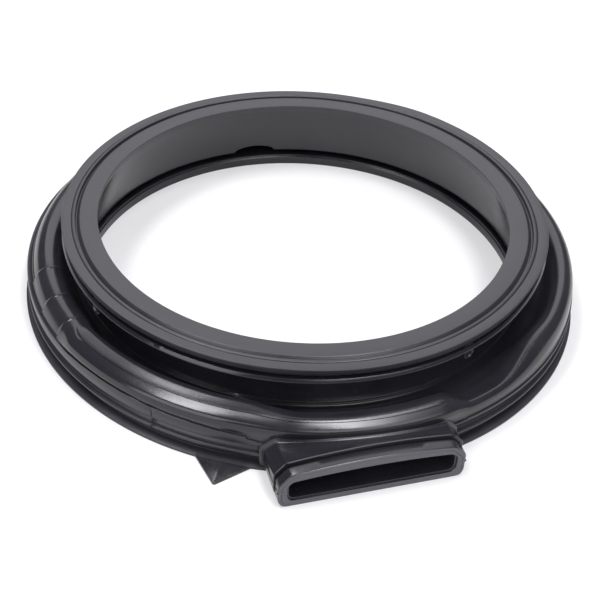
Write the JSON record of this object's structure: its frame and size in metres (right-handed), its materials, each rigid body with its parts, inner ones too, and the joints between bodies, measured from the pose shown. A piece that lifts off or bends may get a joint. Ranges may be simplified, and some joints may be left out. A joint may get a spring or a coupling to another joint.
{
  "type": "tumble dryer door seal",
  "caption": "Round moulded rubber door seal with a rolled fold, clamp seats, a flat air duct and a pointed marking tab on its drum-side flange.",
  "frame": {"origin": "bottom centre of the whole outline: on the plane that the drum side rests on, 8.75 mm towards the duct from the ring's own axis", "axes": "+Z along the ring's axis from the drum side to the door side, -Y towards the mouth of the air duct, +X to the right seen from the duct"},
  "size_m": [0.419, 0.4366, 0.0645],
  "materials": {
    "rubber": "satin"
  },
  "bodies": {
    "root": {"door_seal": "rubber"}
  },
  "joints": []
}
